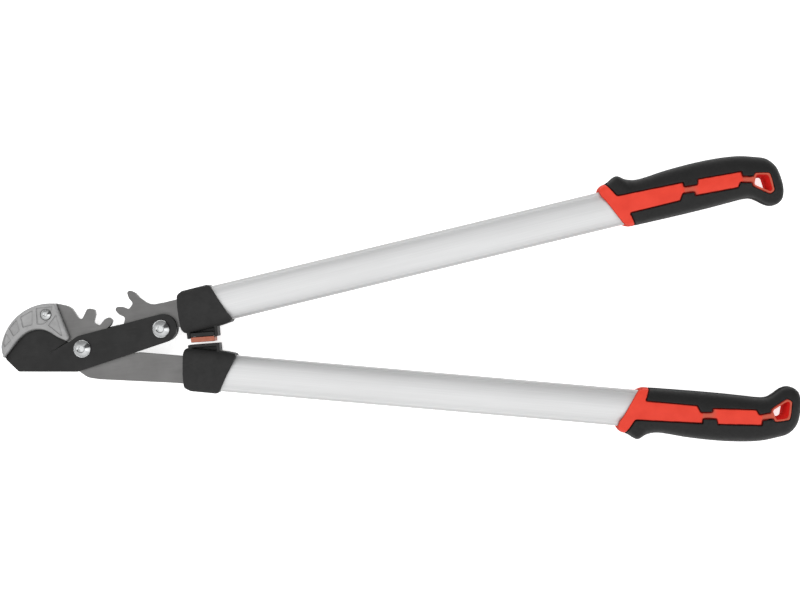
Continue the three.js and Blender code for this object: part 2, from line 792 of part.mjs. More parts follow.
const tool = new THREE.Group();
const cover = hookCover();
tool.add(
  node('cutting_blade', 'coated_blade', geometryOf(cuttingBlade())),
  node('rear_link', 'coated_blade', geometryOf(rearLink())),
  pivotSet('blade_pivot', 0, 0),
  pivotSet('handle_pivot', handlePivot.x, handlePivot.y),
  node('hook_plate', 'plate_steel', geometryOf(hookPlate())),
  node('hook_cover_front', 'cast_alloy', geometryOf(cover)),
  node('hook_cover_rear', 'cast_alloy', geometryOf(cover.mirror([0, 0, 1]))),
  node('hook_cover_screw', 'plated_steel', geometryOf(coverScrew())),
  node('hook_cover_nut', 'plated_steel', geometryOf(coverNut())),
  node('gear_plate', 'plate_steel', geometryOf(gearPlate())),
  handle('lower'),
  handle('upper'),
);

// The origin is under the middle of the tool's box, on the surface that it lies on.
const extent = new THREE.Box3().setFromObject(tool, true);
tool.position.set(-(extent.min.x + extent.max.x) / 2, -(extent.min.y + extent.max.y) / 2, -extent.min.z);

const shears = new THREE.Group();
shears.add(tool);

export default shears;
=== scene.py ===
"""A two-handed geared bypass lopper, lying flat with its front face up.

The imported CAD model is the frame. Plates, covers, washers and blade take their outlines from its flat
faces. Tubes, grips, collars, screws and nuts are drawn again here, finely, from the same few dimensions.
The bushes, plugs and rivets inside stay as the CAD has them and only get their finish.
Shapes are in millimetres and become metres when a mesh is made.
"""

import json
import math

import bmesh
import bpy
import numpy as np
from mathutils import Matrix, Vector


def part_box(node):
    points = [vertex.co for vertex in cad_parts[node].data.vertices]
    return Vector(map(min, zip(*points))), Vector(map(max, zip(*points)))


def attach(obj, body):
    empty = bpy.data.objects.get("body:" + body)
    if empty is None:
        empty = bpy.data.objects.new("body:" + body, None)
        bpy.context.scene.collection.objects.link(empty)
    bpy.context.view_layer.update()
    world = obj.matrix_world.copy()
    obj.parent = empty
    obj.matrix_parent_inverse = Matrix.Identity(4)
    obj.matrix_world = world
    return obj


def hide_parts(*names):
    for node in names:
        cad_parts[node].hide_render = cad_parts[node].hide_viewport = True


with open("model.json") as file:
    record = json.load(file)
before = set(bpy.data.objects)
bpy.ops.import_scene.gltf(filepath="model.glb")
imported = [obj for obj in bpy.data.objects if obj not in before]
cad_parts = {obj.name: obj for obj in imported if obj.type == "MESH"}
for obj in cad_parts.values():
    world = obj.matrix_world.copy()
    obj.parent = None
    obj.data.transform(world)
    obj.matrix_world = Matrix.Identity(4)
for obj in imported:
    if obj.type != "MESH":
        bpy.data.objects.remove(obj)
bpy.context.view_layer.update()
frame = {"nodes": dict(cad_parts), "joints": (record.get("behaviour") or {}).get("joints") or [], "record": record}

# ---------------------------------------------------------------- driving dimensions

MM = 0.001
# The gap that neighbouring pieces keep.
GAP = 0.3

# Each handle's angle to the long axis, and where its own axis starts from its pivot.
HANDLE_LEAN = math.radians(9.28)
UPPER_AXIS_OFFSET = 10.7
LOWER_AXIS_OFFSET = 11.4
LOWER_SETBACK = 77.3

PLATE_HALF = 2.5
BLADE_THICKNESS = 4.5
PLATE_RIM = 0.35

TUBE_WIDTH = 35.2
TUBE_DEPTH = 21
TUBE_WALL = 1.6
TUBE_START = 28
TUBE_END = 542
TANG_HALF_WIDTH = 13

COLLAR_HALF_DEPTH = 13.2

# The grip starts this far along the tube; its pocket for the tube ends this far into the grip.
GRIP_START = 426.4
GRIP_POCKET_END = 118
CORE_HALF_WIDTH = 18.9
CORE_HALF_DEPTH = 11.8

joint_places = {joint["name"]: Vector(joint["pos_m"]) for joint in frame["joints"]}
BLADE_PIVOT = joint_places["blade_pivot"]
HANDLE_PIVOT = joint_places["handle_pivot"]
# The height of the tool's middle plane.
MIDDLE = BLADE_PIVOT.z / MM

body_of_node = {}
for body_name, body_nodes in frame["record"]["behaviour"]["bodies"].items():
    for node_name in body_nodes:
        body_of_node[node_name] = body_name


def handle_place(side):
    """Where a handle's own frame sits: u runs along its tube, v outward from the tube's axis."""
    if side == "upper":
        turn = Matrix.Translation(HANDLE_PIVOT) @ Matrix.Rotation(HANDLE_LEAN, 4, "Z")
        return turn @ Matrix.Translation((0, UPPER_AXIS_OFFSET * MM, 0))
    turn = Matrix.Translation(BLADE_PIVOT) @ Matrix.Rotation(-HANDLE_LEAN, 4, "Z")
    shift = Matrix.Translation((LOWER_SETBACK * MM, -LOWER_AXIS_OFFSET * MM, 0))
    return turn @ shift @ Matrix.Rotation(math.pi, 4, "X")


# ---------------------------------------------------------------- outlines

def rounded(corners, arc_step=math.radians(5)):
    """A closed outline from corners (x, y) or (x, y, radius), with each radius drawn as an arc."""
    points = []
    count = len(corners)
    for index, corner in enumerate(corners):
        here = Vector(corner[:2])
        radius = corner[2] if len(corner) > 2 else 0
        if radius == 0:
            points.append(here)
            continue
        back = Vector(corners[index - 1][:2]) - here
        ahead = Vector(corners[(index + 1) % count][:2]) - here
        room = 0.49 * min(back.length, ahead.length)
        back.normalize()
        ahead.normalize()
        half = math.acos(max(-1, min(1, back.dot(ahead)))) / 2
        reach = min(radius / math.tan(half), room)
        centre = here + (back + ahead).normalized() * (reach / math.cos(half))
        spoke = here + back * reach - centre
        turn = back.x * ahead.y - back.y * ahead.x
        sweep = (math.pi - 2 * half) * (-1 if turn > 0 else 1)
        steps = max(2, math.ceil(abs(sweep) / arc_step))
        for step in range(steps + 1):
            points.append(centre + Matrix.Rotation(sweep * step / steps, 2) @ spoke)
    return [(point.x, point.y) for point in points]


def spline(rows, steps):
    """A smooth line through rows of numbers, with so many steps between one row and the next."""
    rows = np.array(rows, float)
    padded = np.vstack([2 * rows[0] - rows[1], rows, 2 * rows[-1] - rows[-2]])
    share = np.linspace(0, 1, steps, endpoint=False)[:, None]
    parts = []
    for a, b, c, d in zip(padded, padded[1:], padded[2:], padded[3:]):
        bend = (2 * a - 5 * b + 4 * c - d) * share**2 + (3 * b - a - 3 * c + d) * share**3
        parts.append(b + 0.5 * ((c - a) * share + bend))
    return np.vstack([*parts, rows[-1:]])


def signed_area(loop):
    """The area inside a loop, negative where the loop runs clockwise."""
    points = np.array(loop, float)
    ahead = np.roll(points, -1, axis=0)
    return 0.5 * float(np.sum(points[:, 0] * ahead[:, 1] - ahead[:, 0] * points[:, 1]))


def offset(loop, distance):
    """The loop moved to its left as it runs, by a distance, with its corners kept."""
    points = np.array(loop, float)
    ahead = np.roll(points, -1, axis=0) - points
    ahead /= np.linalg.norm(ahead, axis=1)[:, None]
    back = np.roll(ahead, 1, axis=0)
    left = np.stack([-(ahead + back)[:, 1], (ahead + back)[:, 0]], axis=1)
    left /= np.linalg.norm(left, axis=1)[:, None]
    reach = distance / np.maximum(0.4, left[:, 0] * -ahead[:, 1] + left[:, 1] * ahead[:, 0])
    return points + left * reach[:, None]


def grown(corners, distance):
    """Corners moved outward by a distance; their radii stay."""
    plain = [corner[:2] for corner in corners]
    moved = offset(plain, -distance * math.copysign(1, signed_area(plain)))
    return [(*place, *corner[2:]) for place, corner in zip(moved, corners)]


def fine(loop, arc_step=math.radians(4), sharp=math.radians(50)):
    """A faceted closed outline with its gentle turns redrawn as smooth bends; sharp corners stay."""
    points = np.array(loop, float)
    ahead = np.roll(points, -1, axis=0) - points
    lengths = np.linalg.norm(ahead, axis=1)
    ahead /= lengths[:, None]
    back = np.roll(ahead, 1, axis=0)
    turns = np.arccos(np.clip(np.sum(ahead * back, axis=1), -1, 1))
    bends = turns < sharp
    tangents = ahead * lengths[:, None] + back * np.roll(lengths, 1)[:, None]
    tangents /= np.linalg.norm(tangents, axis=1)[:, None]
    made = []
    count = len(points)
    for index in range(count):
        after = (index + 1) % count
        leave = tangents[index] if bends[index] else ahead[index]
        arrive = tangents[after] if bends[after] else ahead[index]
        turn = math.acos(max(-1, min(1, float(leave @ arrive))))
        steps = max(1, math.ceil(turn / arc_step))
        for step in range(steps):
            t = step / steps
            start_weight = 2 * t**3 - 3 * t**2 + 1
            leave_weight = (t**3 - 2 * t**2 + t) * lengths[index]
            arrive_weight = (t**3 - t**2) * lengths[index]
            made.append(
                points[index] * start_weight
                + points[after] * (1 - start_weight)
                + leave * leave_weight
                + arrive * arrive_weight
            )
    return np.array(made)


def face_loops(node, level):
    """Outlines of a CAD node's flat face at a height in mm, largest first, material on their left."""
    bm = bmesh.new()
    bm.from_mesh(frame["nodes"][node].data)
    bmesh.ops.remove_doubles(bm, verts=bm.verts, dist=1e-6)
    reach = 0.02 * MM
    flat = {face for face in bm.faces if all(abs(v.co.z - level * MM) < reach for v in face.verts)}
    up = sum(face.calc_area() * face.normal.z for face in flat) > 0
    following = {}
    for face in flat:
        for corner in face.loops:
            if all(other in flat for other in corner.edge.link_faces):
                continue
            ends = (corner.vert, corner.link_loop_next.vert)
            start, end = ends if up else ends[::-1]
            following[start] = end
    loops = []
    while following:
        start, here = following.popitem()
        loop = [start]
        while here is not start:
            loop.append(here)
            here = following.pop(here)
        loops.append([(v.co.x / MM, v.co.y / MM) for v in loop])
    bm.free()
    return sorted(loops, key=lambda loop: -abs(signed_area(loop)))


# ---------------------------------------------------------------- solids as (points in mm, faces)

def band(lower, upper, size):
    """The faces between two rings of so many points, each ring given by its first point's number."""
    here = np.arange(size)
    after = (here + 1) % size
    return np.stack([lower + here, lower + after, upper + after, upper + here], axis=1).tolist()


def loft(rings):
    """A skin through rings with equally many points, with flat ends."""
    rings = np.array(rings, float)
    count, size = rings.shape[:2]
    faces = []
    for row in range(count - 1):
        faces += band(row * size, (row + 1) * size, size)
    faces.append(list(reversed(range(size))))
    faces.append(list(range((count - 1) * size, count * size)))
    return rings.reshape(-1, 3), faces


def prism(outline, low=-20, high=20):
    """A straight solid over an outline; its usual ends lie well outside the tool's thickness."""
    flat = np.array(outline, float)
    if signed_area(flat) < 0:
        flat = flat[::-1]
    return loft([np.column_stack([flat, np.full(len(flat), z)]) for z in (low, high)])


def oval_ring(u, half_width, half_depth, sides, power=2.0):
    """A section across a handle; power 2 is an ellipse, and a higher one is squarer."""
    angle = np.linspace(0, 2 * math.pi, sides, endpoint=False)
    across = np.sign(np.cos(angle)) * np.abs(np.cos(angle)) ** (2 / power) * half_width
    rise = np.sign(np.sin(angle)) * np.abs(np.sin(angle)) ** (2 / power) * half_depth
    return np.column_stack([np.full(sides, float(u)), across, rise])


def oval_bar(from_u, to_u, half_width, half_depth, sides=96, power=2.0):
    return loft([oval_ring(u, half_width, half_depth, sides, power) for u in (from_u, to_u)])


def block(low_u, high_u, low_v, high_v, low_z, high_z):
    return prism([(low_u, low_v), (high_u, low_v), (high_u, high_v), (low_u, high_v)], low_z, high_z)


def turned(profile, sides=72):
    """A turned piece about Z from (radius, height) points that start and end on the axis."""
    angle = np.linspace(0, 2 * math.pi, sides, endpoint=False)
    rings = []
    for radius, z in profile[1:-1]:
        rings.append(np.column_stack([radius * np.cos(angle), radius * np.sin(angle), np.full(sides, z)]))
    return loft(rings)


def hexagon(across_flats):
    radius = across_flats / math.sqrt(3)
    angles = [math.radians(60 * corner) for corner in range(6)]
    return [(radius * math.cos(angle), radius * math.sin(angle)) for angle in angles]


# ---------------------------------------------------------------- meshes and pieces

def mesh_of(solid):
    """The mesh of a solid, in metres and with outward normals; a mesh is given back as it is."""
    if isinstance(solid, bpy.types.Mesh):
        return solid
    points, faces = solid
    mesh = bpy.data.meshes.new("solid")
    mesh.from_pydata((np.asarray(points) * MM).tolist(), [], faces)
    bm = bmesh.new()
    bm.from_mesh(mesh)
    bmesh.ops.recalc_face_normals(bm, faces=bm.faces)
    bm.to_mesh(mesh)
    bm.free()
    return mesh


def carved(start, steps=(), voxel=None, smoothing=0):
    """A solid or mesh after booleans, each an operation and a solid or mesh.

    With a voxel size in mm it then gets a new skin, and smoothing rounds every edge of that.
    """
    base = bpy.data.objects.new("base", mesh_of(start))
    bpy.context.collection.objects.link(base)
    tools = []
    for operation, other in steps:
        tool = bpy.data.objects.new("tool", mesh_of(other))
        bpy.context.collection.objects.link(tool)
        tools.append(tool)
        cut = base.modifiers.new("cut", "BOOLEAN")
        cut.operation = operation
        cut.solver = "EXACT"
        cut.object = tool
    if voxel:
        skin = base.modifiers.new("skin", "REMESH")
        skin.mode = "VOXEL"
        skin.voxel_size = voxel * MM
    if smoothing:
        soften = base.modifiers.new("soften", "SMOOTH")
        soften.factor = 0.5
        soften.iterations = smoothing
    depsgraph = bpy.context.evaluated_depsgraph_get()
    made = bpy.data.meshes.new_from_object(base.evaluated_get(depsgraph))
    for leftover in [base, *tools]:
        bpy.data.objects.remove(leftover)
    return made


def slab(loops, low, high, rim, top_rim=None):
    """A plate with rounded rims, the top one perhaps larger; its loops have the material on their left."""
    bm = bmesh.new()
    caps = {low: [], high: []}
    top_rim = top_rim or rim
    quarter = np.radians([0, 22.5, 45, 67.5, 90])
    below = [(rim * (1 - math.sin(a)), low + rim * (1 - math.cos(a))) for a in quarter]
    above = [(top_rim * (1 - math.sin(a)), high - top_rim * (1 - math.cos(a))) for a in quarter[::-1]]
    for loop in loops:
        rows = []
        for inset, z in below + above:
            rows.append([bm.verts.new((x * MM, y * MM, z * MM)) for x, y in offset(loop, inset)])
        for lower, upper in zip(rows, rows[1:]):
            for k, vert in enumerate(lower):
                after = (k + 1) % len(lower)
                bm.faces.new((vert, lower[after], upper[after], upper[k]))
        for level, ring in ((low, rows[0]), (high, rows[-1])):
            caps[level] += [bm.edges.get((vert, ring[k - 1])) for k, vert in enumerate(ring)]
    for edges in caps.values():
        bmesh.ops.triangle_fill(bm, edges=edges, use_beauty=True, normal=(0, 0, 1))
    bmesh.ops.recalc_face_normals(bm, faces=bm.faces)
    mesh = bpy.data.meshes.new("slab")
    bm.to_mesh(mesh)
    bm.free()
    return mesh


def piece(mesh, finish, node, place=None, crease=None):
    """Adds the finished piece that stands for a CAD node and rides on its body.

    A crease angle keeps sharper edges sharp and evens the shading of the flat faces between them.
    """
    made = bpy.data.objects.new(f"{node}_finished", mesh.copy())
    bpy.context.collection.objects.link(made)
    if place is not None:
        made.data.transform(place.to_3x3().to_4x4())
        made.location = place.translation
    made.data.materials.clear()
    made.data.materials.append(finishes[finish])
    made.data.shade_smooth()
    if crease is not None:
        made.data.set_sharp_from_angle(angle=math.radians(crease))
        even = made.modifiers.new("even", "WEIGHTED_NORMAL")
        even.keep_sharp = True
        even.weight = 100
    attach(made, body_of_node[node])
    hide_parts(node)


# ---------------------------------------------------------------- finishes

def add_node(tree, kind, inputs=None, **settings):
    """A new node with its settings; each input is a plain value or a socket that is linked to it."""
    made = tree.nodes.new(kind)
    for key, value in settings.items():
        setattr(made, key, value)
    for key, value in (inputs or {}).items():
        if isinstance(value, bpy.types.NodeSocket):
            tree.links.new(value, made.inputs[key])
        else:
            made.inputs[key].default_value = value
    return made


def add_ramp(tree, value, low, high, to_low=0.0, to_high=1.0, **settings):
    """Takes a value from low and high to to_low and to_high, and holds it there beyond them."""
    inputs = {"Value": value, "From Min": low, "From Max": high, "To Min": to_low, "To Max": to_high}
    return add_node(tree, "ShaderNodeMapRange", inputs, **settings).outputs["Result"]


def add_maths(tree, operation, first, second=0):
    return add_node(tree, "ShaderNodeMath", {0: first, 1: second}, operation=operation).outputs["Value"]


class Finish:
    """A material being wired: each method adds nodes and returns the socket that carries the result."""

    def __init__(self, name, metallic=0.0, specular=0.5):
        self.material = bpy.data.materials.new(name)
        self.material.use_nodes = True
        self.tree = self.material.node_tree
        self.shader = self.tree.nodes["Principled BSDF"]
        self.shader.inputs["Metallic"].default_value = metallic
        self.shader.inputs["Specular IOR Level"].default_value = specular
        self.place = self.tree.nodes.new("ShaderNodeTexCoord").outputs["Object"]

    def node(self, kind, inputs=None, **settings):
        return add_node(self.tree, kind, inputs, **settings)

    def noise(self, size, stretch=(1, 1, 1), detail=3.0, roughness=0.55):
        """Noise whose features are about so many mm across; stretch lengthens them along an axis."""
        scale = [1 / (size * MM * s) for s in stretch]
        spread = self.node("ShaderNodeMapping", {"Vector": self.place, "Scale": scale})
        made = self.node("ShaderNodeTexNoise", {
            "Vector": spread.outputs["Vector"], "Scale": 1.0, "Detail": detail, "Roughness": roughness,
        })
        return made.outputs["Fac"]

    def ramp(self, value, low, high, to_low=0.0, to_high=1.0):
        return add_ramp(self.tree, value, low, high, to_low, to_high)

    def maths(self, operation, first, second=0):
        return add_maths(self.tree, operation, first, second)

    def mix(self, factor, first, second):
        """From the first colour to the second as the factor goes from 0 to 1."""
        made = self.node("ShaderNodeMix", data_type="RGBA")
        sockets = {socket.identifier: socket for socket in made.inputs}
        for key, value in (("Factor_Float", factor), ("A_Color", first), ("B_Color", second)):
            if isinstance(value, bpy.types.NodeSocket):
                self.tree.links.new(value, sockets[key])
            else:
                sockets[key].default_value = value if key == "Factor_Float" else (*value, 1)
        return next(socket for socket in made.outputs if socket.identifier == "Result_Color")

    def edges(self, radius):
        """1 along the edges of the shape and 0 on its open faces."""
        softened = self.node("ShaderNodeBevel", {"Radius": radius * MM}, samples=6).outputs["Normal"]
        true = self.node("ShaderNodeNewGeometry").outputs["Normal"]
        match = self.node("ShaderNodeVectorMath", {0: softened, 1: true}, operation="DOT_PRODUCT")
        return self.ramp(match.outputs["Value"], 0.995, 0.86)

    def recess_shade(self, reach):
        """The mask for painted shade in recesses: 1 where the shape is closed in within so many mm, and 0 where it
        stands open.
        """
        around = self.node("ShaderNodeAmbientOcclusion", {"Distance": reach * MM}, samples=8)
        return self.ramp(around.outputs["AO"], 0.99, 0.68)

    def upright(self, level, steep):
        """0 where the normal's rise is at least the first share, and 1 where it is at most the second."""
        normal = self.node("ShaderNodeNewGeometry").outputs["Normal"]
        rise = self.node("ShaderNodeSeparateXYZ", {"Vector": normal}).outputs["Z"]
        return self.ramp(self.maths("ABSOLUTE", rise), level, steep)

    def bump(self, height, depth, strength, over=None):
        """A relief so many mm deep, perhaps over another one."""
        inputs = {"Height": height, "Strength": strength, "Distance": depth * MM}
        if over is not None:
            inputs["Normal"] = over
        return self.node("ShaderNodeBump", inputs).outputs["Normal"]

    def set(self, colour, roughness, normal=None):
        self.tree.links.new(colour, self.shader.inputs["Base Color"])
        self.tree.links.new(roughness, self.shader.inputs["Roughness"])
        if normal is not None:
            self.tree.links.new(normal, self.shader.inputs["Normal"])
        return self.material


def grey(value, warmth=0.0):
    """A grey that is warmer, with more red than blue, by a share."""
    return (value * (1 + warmth), value, value * (1 - warmth))


def coated_blade():
    f = Finish("coated_blade", specular=0.28)
    cloud = f.noise(14, detail=4)
    tone = f.mix(f.ramp(cloud, 0.35, 0.65), grey(0.0105), grey(0.0155))
    rubbed = f.maths("MULTIPLY", f.edges(0.7), f.ramp(f.noise(1.6, detail=5), 0.42, 0.62))
    tone = f.mix(f.ramp(rubbed, 0, 1, 0, 0.5), tone, grey(0.11))
    scratches = f.ramp(f.noise(0.5, stretch=(30, 1, 1), detail=2), 0.63, 0.72)
    tone = f.mix(f.ramp(scratches, 0, 1, 0, 0.12), tone, grey(0.08))
    rough = f.ramp(f.noise(6, detail=4), 0.3, 0.7, 0.4, 0.52)
    coat = f.bump(f.noise(0.55, detail=2), 0.012, 0.5)
    return f.set(tone, rough, coat)


def plate_steel():
    f = Finish("plate_steel", metallic=1.0)
    cloud = f.noise(26, detail=4)
    tone = f.mix(f.ramp(cloud, 0.3, 0.7), grey(0.155, 0.012), grey(0.195, 0.01))
    grind = f.noise(0.35, stretch=(60, 1, 1), detail=3)
    tone = f.mix(f.ramp(grind, 0.3, 0.7, 0, 0.22), tone, grey(0.24, 0.01))
    tone = f.mix(f.ramp(f.edges(0.6), 0, 1, 0, 0.35), tone, grey(0.33))
    rough = f.ramp(f.noise(3, stretch=(6, 1, 1)), 0.3, 0.7, 0.4, 0.5)
    lines = f.bump(grind, 0.006, 0.5)
    return f.set(tone, rough, f.bump(f.noise(1.2), 0.01, 0.35, lines))


def cast_alloy():
    f = Finish("cast_alloy", metallic=0.35)
    cloud = f.noise(8, detail=5)
    tone = f.mix(f.ramp(cloud, 0.3, 0.7), grey(0.285), grey(0.36))
    tone = f.mix(f.ramp(f.edges(0.8), 0, 1, 0, 0.4), tone, grey(0.5))
    # Painted shade darkens the cast cover's recesses, along its pockets' edges.
    tone = f.mix(f.ramp(f.recess_shade(1.4), 0, 1, 0, 0.6), tone, grey(0.14))
    rough = f.ramp(f.noise(1.5, detail=4), 0.3, 0.7, 0.46, 0.62)
    sand = f.bump(f.noise(0.45, detail=3, roughness=0.7), 0.05, 0.55)
    return f.set(tone, rough, f.bump(f.noise(5, detail=2), 0.12, 0.3, sand))


def plated_steel():
    f = Finish("plated_steel", metallic=1.0)
    tone = f.mix(f.ramp(f.noise(4, detail=4), 0.3, 0.7), (0.54, 0.555, 0.56), (0.66, 0.67, 0.67))
    rough = f.ramp(f.noise(1.2, detail=4), 0.3, 0.7, 0.12, 0.22)
    rings = f.node("ShaderNodeTexWave", {
        "Vector": f.place, "Scale": 260.0, "Distortion": 0.6, "Detail": 2.0,
    }, wave_type="RINGS", rings_direction="Z").outputs["Fac"]
    return f.set(tone, rough, f.bump(rings, 0.008, 0.4))


def bronze():
    f = Finish("bronze", metallic=1.0)
    tone = f.mix(f.ramp(f.noise(3, detail=4), 0.3, 0.7), (0.38, 0.2, 0.07), (0.52, 0.3, 0.12))
    rough = f.ramp(f.noise(1), 0.3, 0.7, 0.3, 0.45)
    return f.set(tone, rough, f.bump(f.noise(0.3), 0.02, 0.4))


def collar_nylon():
    f = Finish("collar_nylon", specular=0.3)
    cloud = f.noise(9, detail=4)
    tone = f.mix(f.ramp(cloud, 0.3, 0.7), grey(0.013), grey(0.018))
    tone = f.mix(f.ramp(f.edges(1.0), 0, 1, 0, 0.3), tone, grey(0.045))
    rough = f.ramp(f.noise(2.5, detail=4), 0.3, 0.7, 0.5, 0.64)
    grain = f.bump(f.noise(0.4, detail=3, roughness=0.65), 0.035, 0.5)
    return f.set(tone, rough, grain)


def anodised_aluminium(name="anodised_aluminium", lean=0.0):
    """Satin silver, faintly drawn along a tube that leans away from the X axis, with painted shade on its steeper
    sides.
    """
    f = Finish(name, metallic=0.75)
    turned_place = {"Vector": f.place, "Angle": -lean}
    f.place = f.node("ShaderNodeVectorRotate", turned_place, rotation_type="Z_AXIS").outputs["Vector"]
    streaks = f.noise(0.5, stretch=(220, 1, 1), detail=3)
    tone = f.mix(f.ramp(streaks, 0.3, 0.7), grey(0.67, -0.004), grey(0.73, -0.004))
    tone = f.mix(f.ramp(f.noise(40, stretch=(3, 1, 1), detail=3), 0.35, 0.7, 0, 0.3), tone, grey(0.63))
    # Painted shade: the tube's steeper sides are a darker grey.
    tone = f.mix(f.upright(0.78, 0.6), tone, grey(0.42))
    rough = f.ramp(f.noise(1.5, stretch=(30, 1, 1)), 0.3, 0.7, 0.44, 0.54)
    satin = f.bump(f.noise(0.18, detail=2), 0.006, 0.5)
    return f.set(tone, rough, f.bump(streaks, 0.006, 0.5, satin))


def hard_red():
    f = Finish("hard_red", specular=0.15)
    cloud = f.noise(16, detail=4)
    tone = f.mix(f.ramp(cloud, 0.3, 0.7), (0.66, 0.046, 0.026), (0.74, 0.058, 0.034))
    tone = f.mix(f.ramp(f.edges(0.8), 0, 1, 0, 0.35), tone, (0.78, 0.11, 0.07))
    # Painted shade: the red is darker and duller at the first neck and from the second neck to the eyelet.
    grip_shade = f.node("ShaderNodeAttribute", attribute_name="grip_shade").outputs["Fac"]
    tone = f.mix(grip_shade, tone, (0.5, 0.09, 0.055))
    # Painted shade darkens the red in recesses and along the black walls beside it.
    tone = f.mix(f.recess_shade(3), tone, (0.2, 0.01, 0.008))
    # Painted shade: steep walls, such as the eyelet's bore, are a darker red.
    shaded_walls = f.mix(grip_shade, (0.48, 0.045, 0.026), (0.7, 0.02, 0.016))
    tone = f.mix(f.upright(0.5, 0.15), tone, shaded_walls)
    rough = f.ramp(f.noise(3, detail=4), 0.3, 0.7, 0.3, 0.42)
    rough = f.maths("MAXIMUM", rough, f.upright(0.6, 0.3))
    skin = f.bump(f.noise(0.35, detail=2), 0.014, 0.45)
    return f.set(tone, rough, f.bump(f.noise(9), 0.08, 0.25, skin))


def soft_black():
    f = Finish("soft_black", specular=0.36)
    cloud = f.noise(18, detail=4)
    tone = f.mix(f.ramp(cloud, 0.3, 0.7), grey(0.004), grey(0.006))
    dust = f.maths("MULTIPLY", f.edges(1.2), f.ramp(f.noise(2.2, detail=5), 0.4, 0.65))
    tone = f.mix(f.ramp(dust, 0, 1, 0, 0.35), tone, grey(0.05))
    rough = f.ramp(f.noise(3, detail=4), 0.3, 0.7, 0.52, 0.66)
    rough = f.maths("MAXIMUM", rough, f.upright(0.6, 0.2))
    pebbles = f.node("ShaderNodeTexVoronoi", {"Vector": f.place, "Scale": 1 / (0.55 * MM)})
    grain = f.bump(pebbles.outputs["Distance"], 0.03, 0.5)
    return f.set(tone, rough, f.bump(f.noise(0.3), 0.02, 0.4, grain))


def bumper_rubber():
    f = Finish("bumper_rubber", specular=0.4)
    tone = f.mix(f.ramp(f.noise(3, detail=4), 0.3, 0.7), (0.32, 0.09, 0.05), (0.4, 0.125, 0.075))
    # Painted shade darkens the pad's rounded rims, where its faces turn from upright, and its recesses.
    rim = f.maths("MULTIPLY", f.upright(0.98, 0.85), f.upright(0.2, 0.45))
    tone = f.mix(f.ramp(rim, 0, 1, 0, 0.8), tone, (0.14, 0.03, 0.018))
    tone = f.mix(f.recess_shade(2), tone, (0.1, 0.025, 0.016))
    rough = f.ramp(f.noise(1.5), 0.3, 0.7, 0.4, 0.55)
    return f.set(tone, rough, f.bump(f.noise(0.4), 0.02, 0.4))


# Each finish is named after the record's slot that it makes, as is the plain material of each CAD node.
finishes = {
    make.__name__: make()
    for make in (
        coated_blade, plate_steel, cast_alloy, plated_steel, bronze,
        collar_nylon, anodised_aluminium, hard_red, soft_black, bumper_rubber,
    )
}
# Each tube has its own version of the aluminium, drawn along it.
finishes["anodised_upper"] = anodised_aluminium("anodised_upper", HANDLE_LEAN)
finishes["anodised_lower"] = anodised_aluminium("anodised_lower", -HANDLE_LEAN)
for node in frame["nodes"].values():
    node.material_slots[0].material = finishes[node.material_slots[0].material.name]


# ---------------------------------------------------------------- plates, covers and the blade

def levels(node):
    """The lowest and highest z of a CAD node, in mm."""
    low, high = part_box(node)
    return low.z / MM, high.z / MM


def middle_of(node):
    """The middle of a CAD node in plan, in metres."""
    low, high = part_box(node)
    return Vector(((low.x + high.x) / 2, (low.y + high.y) / 2, 0))


def plain_plate(node, finish, rim=PLATE_RIM):
    """A flat piece with the outline and holes of its CAD node, drawn smoothly and with rounded rims."""
    low, high = levels(node)
    loops = [fine(loop) for loop in face_loops(node, high)]
    piece(slab(loops, low, high, rim), finish, node, crease=35)


def in_row(points):
    """Points drawn about the blade pivot, moved to the row frame, in mm."""
    return np.array(points, float) + np.array(BLADE_PIVOT.xy) / MM


def moved_left(line, distance):
    """An open line moved to its left as it runs."""
    ahead = np.gradient(line, axis=0)
    ahead /= np.linalg.norm(ahead, axis=1)[:, None]
    return line + distance * np.column_stack([-ahead[:, 1], ahead[:, 0]])


# The curved cutting edge, the line where its ground face starts, and the outline that the grinding fills.
CUTTING_EDGE = [
    (-15.2, 8.2), (-22.3, 12), (-29.5, 17.2), (-36.5, 20.3), (-44, 20.6),
    (-51.5, 18.1), (-58.5, 13), (-65.5, 5.3), (-72.6, -3.2),
]
GROUND_LINE = [(-10, -0.5), (-71, -5.6)]
GRINDING = [(-13.2, 6.7), (-31.6, -2.2), (-40, -7), (-90, -10), (-90, 60), (-5, 60), (-5, 15)]
# The narrow wedge cut along the heel, and how far its floor lies above the blade's back face.
HEEL_GROOVE = [(-13.2, 6.7), (-13.9, 8.1), (-31.6, -2.2)]
HEEL_GROOVE_FLOOR = 0.2
EDGE_THICKNESS = 0.5
EDGE_STEPS = 14
BLADE_RIM = 0.3


def cutting_blade():
    """The blade and its link arm in one piece, ground from one face down to the cutting edge."""
    low, high = levels("cutting_blade")
    loops = [fine(loop) for loop in face_loops("cutting_blade", low)]
    edge = in_row(spline(CUTTING_EDGE, EDGE_STEPS))
    share = np.linspace(0, 1, len(edge))[:, None]
    start, end = in_row(GROUND_LINE)
    ground = start + (end - start) * share
    # The cutter runs on past the edge in the same plane, and clears the blade's top.
    past_edge, lowest, top = 3, low + 0.05, high + 5
    outside = moved_left(edge, -past_edge)
    drop = (high - low - EDGE_THICKNESS) / np.linalg.norm(edge - ground, axis=1)
    fall = high - drop * np.linalg.norm(outside - ground, axis=1)
    slices = []
    for near, far, z in zip(ground, outside, np.maximum(fall, lowest)):
        slices.append([(*near, high), (*far, z), (*far, top), (*near, top)])
    cutter = carved(loft(slices), [("INTERSECT", prism(in_row(GRINDING), low - 1, top + 3))])
    groove = prism(in_row(HEEL_GROOVE), low + HEEL_GROOVE_FLOOR, high + 1)
    cuts = [("DIFFERENCE", cutter), ("DIFFERENCE", groove)]
    piece(carved(slab(loops, low, high, BLADE_RIM), cuts), "coated_blade", "cutting_blade", crease=22)


COVER_THICKNESS = 5
COVER_RIM = 0.3
COVER_FACE_RIM = 2
COVER_POCKET = 0.9
# The round seat of the cover's screw, and how far the pockets keep away from it.
COVER_SEAT_RADIUS = 5.6
COVER_SEAT_DEPTH = 1.6
COVER_SEAT_LAND = 0.3


